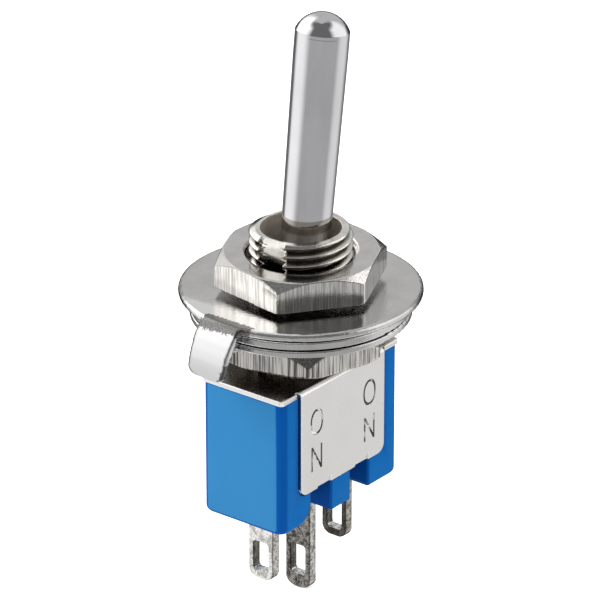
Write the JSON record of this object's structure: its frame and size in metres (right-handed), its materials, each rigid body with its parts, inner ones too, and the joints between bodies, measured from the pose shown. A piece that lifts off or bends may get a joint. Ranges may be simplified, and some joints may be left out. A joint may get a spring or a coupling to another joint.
{
  "type": "panel toggle switch",
  "caption": "Subminiature panel toggle switch with a domed metal lever, threaded bushing with nuts and washers, blue moulded housing and solder lug terminals.",
  "frame": {"origin": "bushing axis at the top face of the metal frame, where the bushing leaves the body", "axes": "+Z along the bushing out of the panel, X along the lever's throw and the row of terminals, the lettered skirt towards -Y and the keyway towards -X"},
  "size_m": [0.0125, 0.0114, 0.0286],
  "materials": {
    "blue_housing": "smooth satin moulding",
    "plated_frame": "satin nickel plate on sheet steel",
    "plated_bushing": "bright nickel plate on turned brass",
    "plated_nut": "bright nickel plate with drawn side faces",
    "plated_washer": "nickel plated stamping with a rounded rim",
    "tinned_terminal": "dull mottled tin plate",
    "contact_metal": "silver",
    "rocker_brass": "rolled strip",
    "chrome_lever": "polished chrome plate on brass",
    "plunger_nylon": "natural nylon",
    "spring_steel": "drawn wire"
  },
  "bodies": {
    "switch_body": {"housing": "blue_housing", "frame": "plated_frame", "bushing": "plated_bushing", "lower_nut": "plated_nut", "upper_nut": "plated_nut", "flat_washer": "plated_washer", "lock_washer": "plated_washer", "locating_washer": "plated_washer", "terminal_left": "tinned_terminal", "terminal_common": "tinned_terminal", "terminal_right": "tinned_terminal", "fixed_contact_left": "contact_metal", "fixed_contact_right": "contact_metal", "pivot_pin": "spring_steel"},
    "lever_body": {"lever": "chrome_lever", "plunger_spring": "spring_steel"},
    "plunger_body": {"plunger": "plunger_nylon"},
    "rocker_body": {"rocker": "rocker_brass", "rocker_contact_left": "contact_metal", "rocker_contact_right": "contact_metal"}
  },
  "joints": [
    {"name": "lever_tilt", "type": "hinge", "parent": "switch_body", "child": "lever_body", "pos_m": [0, 0, 0.0033], "axis": [0, 1, 0], "range_deg": [-14.6, 0]},
    {"name": "plunger_slide", "type": "slide", "parent": "lever_body", "child": "plunger_body", "axis": [0.1271, 0, 0.9919], "range_m": [0, 0.0003], "stiffness_N_per_m": 300, "springref_m": -0.0008, "deforming": ["plunger_spring"]},
    {"name": "rocker_tilt", "type": "hinge", "parent": "switch_body", "child": "rocker_body", "pos_m": [0, 0, -0.0035], "axis": [0, 1, 0], "range_deg": [0, 14.6]}
  ],
  "couplings": [
    {"joint": "rocker_tilt", "follows": "lever_tilt", "ratio": -1}
  ]
}
